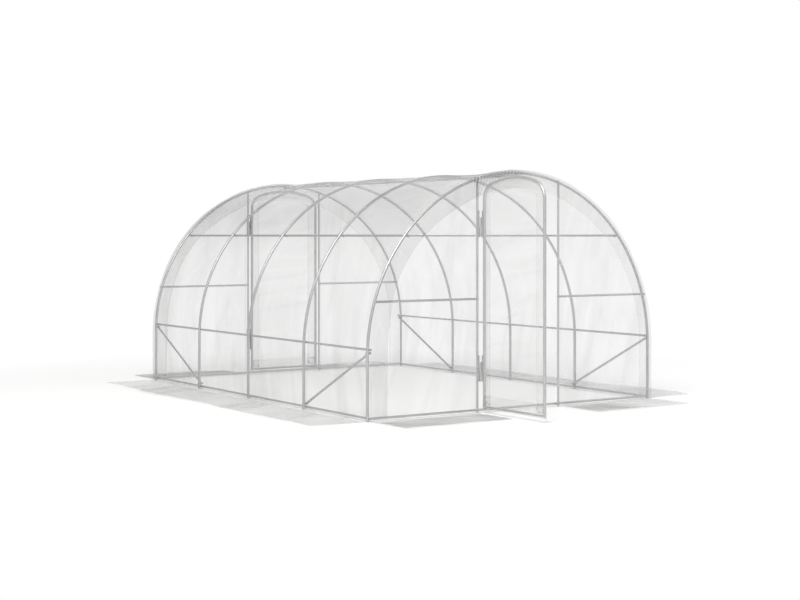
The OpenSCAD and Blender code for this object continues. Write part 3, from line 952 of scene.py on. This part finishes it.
# the door posts and the gable bars on the end hoops, the posts on the end rails, the bars on the posts
hoop_inner = half_len - tube_r
post_joint_z = leg_h + math.sqrt(arch_r**2 - post_x**2) - 0.003
end_rail_z = middle("ground_rail_front").z
for sign in (-1, 1):
    on_face = sign * (face_y - 0.0002) + mid_y
    for side in (-1, 1):
        px, bx = side * post_x, side * math.sqrt(arch_r**2 - (bar_z - leg_h) ** 2)
        for x, z in ((px, post_joint_z), (bx, bar_z)):
            bolt((x, on_face, z), (x, sign * hoop_inner + mid_y, z))
        bolt((px, on_face, end_rail_z), (px, sign * (half_len - 0.010) + mid_y, end_rail_z))
        post_y = sign * (face_y - purlin_r) + mid_y
        heads.append((head, facing((side * (post_x - purlin_r + 0.0002), post_y, bar_z), (-side, 0, 0))))
hardware("bolt_heads", heads, bolt_finish, "tunnel")
hardware("bolt_nuts", nuts, bolt_finish, "tunnel")
hardware("bolt_washers", rings, bolt_finish, "tunnel")
hardware("bolt_threads", tips, bolt_finish, "tunnel")

# Joint sleeves on the hoops, where their sections are pushed together
collar_r, collar_half, collar_in = tube_r + 0.0007, 0.026, tube_r - 0.002
collar_line = [(collar_in, -collar_half), (collar_r - 0.0003, -collar_half),
               (collar_r, -collar_half + 0.0006)]
collar_line += [(collar_r, collar_half * t) for t in (-0.5, 0, 0.5)]
collar_line += [(collar_r, collar_half - 0.0006), (collar_r - 0.0003, collar_half), (collar_in, collar_half),
                (collar_in, -collar_half)]
collar = turned_shape(collar_line, 32)
screw = domed_head(0.0040, 0.0017)
collars, screws = bmesh.new(), []


def on_hoop(angle, lift, aside, y):
    """A point beside a hoop's middle line: angle from the ridge, lift outwards, aside along the tunnel."""
    r = arch_r + lift
    return Vector((r * math.sin(angle), y + mid_y + aside, leg_h + r * math.cos(angle)))


for y in hoop_ys:
    for angle in (-0.62, 0.62):
        scratch = bpy.data.meshes.new("scratch")
        collar.to_mesh(scratch)
        for vert in scratch.vertices:
            lift, aside, along = vert.co
            vert.co = on_hoop(angle + along / arch_r, lift, aside, y)
        collars.from_mesh(scratch)
        bpy.data.meshes.remove(scratch)
        spot = on_hoop(angle - 0.010 / arch_r, -collar_r + 0.0004, 0, y)
        screws.append((screw, facing(spot, spot - on_hoop(angle, 0, 0, y))))
    for side in (-1, 1):                          # the arch is pushed onto the straight leg
        scratch = bpy.data.meshes.new("scratch")
        collar.to_mesh(scratch)
        scratch.transform(Matrix.Translation((side * arch_r, y + mid_y, leg_h - collar_half)))
        collars.from_mesh(scratch)
        bpy.data.meshes.remove(scratch)
        spot = Vector((side * (arch_r - collar_r + 0.0004), y + mid_y, leg_h - collar_half * 1.4))
        screws.append((screw, facing(spot, (-side, 0, 0))))
bmesh.ops.recalc_face_normals(collars, faces=collars.faces)
collar_mesh = bpy.data.meshes.new("hoop_joint_sleeves")
collars.to_mesh(collar_mesh)
sleeves = piece("hoop_joint_sleeves", collar_mesh, tube_finish, "tunnel")
sleeves.data.set_sharp_from_angle(angle=sharp_edge)
hardware("hoop_joint_screws", screws, bolt_finish, "tunnel")

# Plugs in the open ends of the long tubes
plug_line = [(0, -0.0005), (purlin_r - 0.0008, -0.0005), (purlin_r - 0.0002, 0.0003),
             (purlin_r - 0.0004, 0.0014), (purlin_r - 0.0016, 0.0020), (0.0045, 0.0021), (0.0038, 0.0012),
             (0, 0.0010)]
plug = turned_shape(plug_line, 24)
plugs = []
for node in long_tubes:
    low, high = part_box(node)
    spot = (low + high) / 2
    for y, way in ((low.y, -1), (high.y, 1)):
        plugs.append((plug, facing((spot.x, y, spot.z), (0, way, 0))))
hardware("tube_plugs", plugs, plug_finish, "tunnel")

# Screws in the hinge leaves
leaf_screw = domed_head(0.0046, 0.0022)
leaf_h, leaf_out = 0.216, face_y + 0.0035        # a leaf's length, and its face
screw_rows = (-0.090, 0.0, 0.090)                # from a leaf's middle
for end in ("front", "back"):
    sign = -1 if end == "front" else 1
    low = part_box(end + "_post_leaves")[0]
    pin_x = hinges[end]["pos_m"][0]
    leaf_x = (low.x + pin_x - 0.0085) / 2
    lower_z, upper_z = low.z + leaf_h / 2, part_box(end + "_door_leaves")[1].z - leaf_h / 2
    rows = [z + d for z in (lower_z, upper_z) for d in screw_rows]
    on_post = [(leaf_screw, facing((leaf_x, sign * leaf_out + mid_y, z), (0, sign, 0))) for z in rows]
    hardware(end + "_post_leaf_screws", on_post, bolt_finish, "tunnel")
    door_x = 2 * pin_x - leaf_x
    spots = hung([(door_x, leaf_out, z) for z in rows], end)
    facings = hung([(door_x, leaf_out + 1, z) for z in rows], end) - spots
    on_door = [(leaf_screw, facing(spot, way)) for spot, way in zip(spots, facings)]
    hardware(end + "_door_leaf_screws", on_door, bolt_finish, end + "_door")

# ---- Light, floor ------------------------------------------------------------

world = bpy.data.worlds.new("studio")
bpy.context.scene.world = world
world.use_nodes = True
tree = world.node_tree
tree.nodes.clear()
shown = tree.nodes.new("ShaderNodeBackground")
shown.inputs["Color"].default_value = (1, 1, 1, 1)
shown.inputs["Strength"].default_value = 1.0
lit = tree.nodes.new("ShaderNodeBackground")
lit.inputs["Color"].default_value = (1.0, 1.0, 1.0, 1)
lit.inputs["Strength"].default_value = 0.60
ray = tree.nodes.new("ShaderNodeLightPath")
mix = tree.nodes.new("ShaderNodeMixShader")
out = tree.nodes.new("ShaderNodeOutputWorld")
tree.links.new(ray.outputs["Is Camera Ray"], mix.inputs[0])
tree.links.new(lit.outputs[0], mix.inputs[1])
tree.links.new(shown.outputs[0], mix.inputs[2])
tree.links.new(mix.outputs[0], out.inputs[0])


def lamp(name, place, aim, size, power, colour):
    data = bpy.data.lights.new(name, "AREA")
    data.shape, data.size, data.size_y = "RECTANGLE", size[0], size[1]
    data.energy, data.color = power, colour
    made = bpy.data.objects.new(name, data)
    bpy.context.scene.collection.objects.link(made)
    made.location = place
    made.rotation_euler = (Vector(aim) - Vector(place)).to_track_quat("-Z", "Y").to_euler()


lamp("key", (-5.5, -5.0, 7.5), (0, 0, 0.6), (5, 4), 620, (1.0, 0.985, 0.96))
lamp("fill", (7.0, -3.0, 5.0), (0, 0, 1.0), (5, 5), 150, (0.95, 0.98, 1.0))
lamp("rim", (3.0, 8.0, 6.0), (0, 0, 1.0), (5, 3), 160, (1.0, 1.0, 1.0))

bm = bmesh.new()
bmesh.ops.create_circle(bm, cap_ends=True, segments=96, radius=60)
bmesh.ops.translate(bm, verts=bm.verts, vec=(0, 0, -0.0015))
floor_mesh = bpy.data.meshes.new("floor")
bm.to_mesh(floor_mesh)
bm.free()
floor = bpy.data.objects.new("floor", floor_mesh)
bpy.context.scene.collection.objects.link(floor)
p = Paint("floor_white")
place = p.node("ShaderNodeTexCoord", out=3)
away = p.node("ShaderNodeVectorMath", {"operation": "LENGTH"}, {0: place}, out=1)
matt = p.node("ShaderNodeBsdfDiffuse", {}, {"Color": (0.93, 0.93, 0.93, 1)})
glow = p.node("ShaderNodeEmission", {}, {"Color": (1, 1, 1, 1), "Strength": 1.0})
far_off = ((away - 3.0) / 2.2).clipped()
mixed = p.node("ShaderNodeMixShader", {}, {0: far_off, 1: matt, 2: glow})
p.surface(mixed)
floor_mesh.materials.append(p.material)

bpy.context.scene.view_settings.view_transform = "Standard"
bpy.context.scene.cycles.transparent_max_bounces = 24
